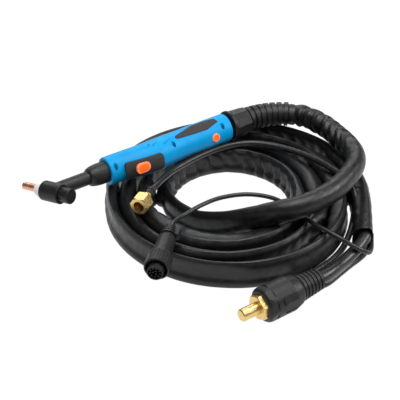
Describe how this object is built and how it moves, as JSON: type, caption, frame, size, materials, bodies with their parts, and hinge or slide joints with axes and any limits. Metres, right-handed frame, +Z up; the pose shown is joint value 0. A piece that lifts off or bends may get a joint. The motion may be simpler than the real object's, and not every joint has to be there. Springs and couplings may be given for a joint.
{
  "type": "tig torch",
  "caption": "TIG welding torch: bent-neck head, soft-grip handle with trigger and rear button on a ball swivel, coiled cable sleeve, and power, gas and control connectors.",
  "frame": {"origin": "where the electrode line crosses the handle line, inside the head", "axes": "+X from the head along the handle to its cable end, +Z up; the floor that the coil lies on is 51 mm below the origin, and the electrode points mostly along +Y"},
  "size_m": [0.3599, 0.3348, 0.0696],
  "materials": {
    "copper": "bare copper, satin, slightly dulled",
    "white_ptfe": "smooth moulded fluoropolymer",
    "acetal_white": "moulded acetal, satin",
    "brass": "machined brass",
    "pale_brass": "turned brass, pale and satin",
    "black_rubber": "moulded silicone rubber, satin",
    "black_plastic": "moulded glass-filled nylon, satin",
    "blue_plastic": "moulded nylon, satin, bright blue",
    "grey_grip": "soft-touch elastomer, dark grey",
    "orange_plastic": "moulded plastic, satin, orange",
    "steel": "plated steel",
    "sleeve_cloth": "black coated cloth sleeve, satin, wrinkled at its bends",
    "cable_jacket": "extruded rubber, semi-gloss"
  },
  "bodies": {
    "cable_set": {"swivel_collar": "black_plastic", "cable_boot": "black_rubber", "sleeve_lead": "sleeve_cloth", "sleeve_coil": "sleeve_cloth", "sleeve_end": "sleeve_cloth", "power_cable": "cable_jacket", "power_ferrule": "copper", "power_pin": "pale_brass", "power_plug_cover": "black_rubber", "power_set_screw": "steel", "gas_hose": "cable_jacket", "gas_ferrule": "black_plastic", "gas_nipple": "brass", "control_cable": "cable_jacket", "control_gland": "black_plastic", "control_shell": "black_plastic", "control_insert": "black_plastic", "control_contacts": "steel"},
    "swivel_ring": {"swivel_ring": "acetal_white"},
    "handpiece": {"collet_body": "copper", "collet": "copper", "heat_shield": "white_ptfe", "head_core": "brass", "head_jacket": "black_rubber", "neck_tube": "copper", "neck_boot": "black_rubber", "handle_shell_upper": "blue_plastic", "handle_shell_lower": "blue_plastic", "handle_screws": "steel", "grip_insert_upper": "grey_grip", "grip_insert_lower": "grey_grip", "trigger_pad": "grey_grip", "microswitch": "black_plastic", "rear_switch": "black_plastic", "power_connector": "brass", "swivel_ball": "black_plastic"},
    "trigger": {"trigger": "orange_plastic"},
    "switch_lever": {"switch_lever": "steel"},
    "rear_button": {"rear_button": "orange_plastic"},
    "cap_seal": {"cap_o_ring": "black_rubber"},
    "back_cap": {"back_cap": "black_plastic"},
    "gas_nut": {"gas_nut": "pale_brass"},
    "control_ring": {"control_ring": "black_plastic"}
  },
  "joints": [
    {"name": "swivel_pan", "type": "hinge", "parent": "cable_set", "child": "swivel_ring", "pos_m": [0.2485, 0, 0], "axis": [0, 0, 1], "range_deg": [-8, 0]},
    {"name": "swivel_tilt", "type": "hinge", "parent": "swivel_ring", "child": "handpiece", "pos_m": [0.2485, 0, 0], "axis": [0, 1, 0], "range_deg": [0, 8]},
    {"name": "trigger_press", "type": "slide", "parent": "handpiece", "child": "trigger", "axis": [0, 0.9877, -0.1564], "range_m": [0, 0.0015], "stiffness_N_per_m": 1500, "springref_m": -0.0008},
    {"name": "switch_lever_tilt", "type": "hinge", "parent": "handpiece", "child": "switch_lever", "pos_m": [0.0955, -0.0084, 0.00133], "axis": [0, 0.1564, 0.9877], "range_deg": [0, 6.2]},
    {"name": "rear_button_press", "type": "slide", "parent": "handpiece", "child": "rear_button", "axis": [0, 0.9877, -0.1564], "range_m": [0, 0.001], "stiffness_N_per_m": 1500, "springref_m": -0.0008},
    {"name": "back_cap_slide", "type": "slide", "parent": "handpiece", "child": "cap_seal", "axis": [0.3746, -0.9158, 0.145], "range_m": [0, 0.003]},
    {"name": "back_cap_turn", "type": "hinge", "parent": "cap_seal", "child": "back_cap", "pos_m": [0, 0, 0], "axis": [0.3746, -0.9158, 0.145], "range_deg": [0, 1116]},
    {"name": "gas_nut_turn", "type": "hinge", "parent": "cable_set", "child": "gas_nut", "pos_m": [0.0869, -0.0574, -0.0066], "axis": [-0.8443, -0.5358, 0], "continuous": true},
    {"name": "control_ring_turn", "type": "hinge", "parent": "cable_set", "child": "control_ring", "pos_m": [0.0725, -0.1237, -0.0047], "axis": [-0.7193, -0.6947, 0], "continuous": true}
  ],
  "couplings": [
    {"joint": "switch_lever_tilt", "follows": "trigger_press", "rad_per_m": 69.68},
    {"joint": "back_cap_turn", "follows": "back_cap_slide", "rad_per_m": 6283.2}
  ]
}
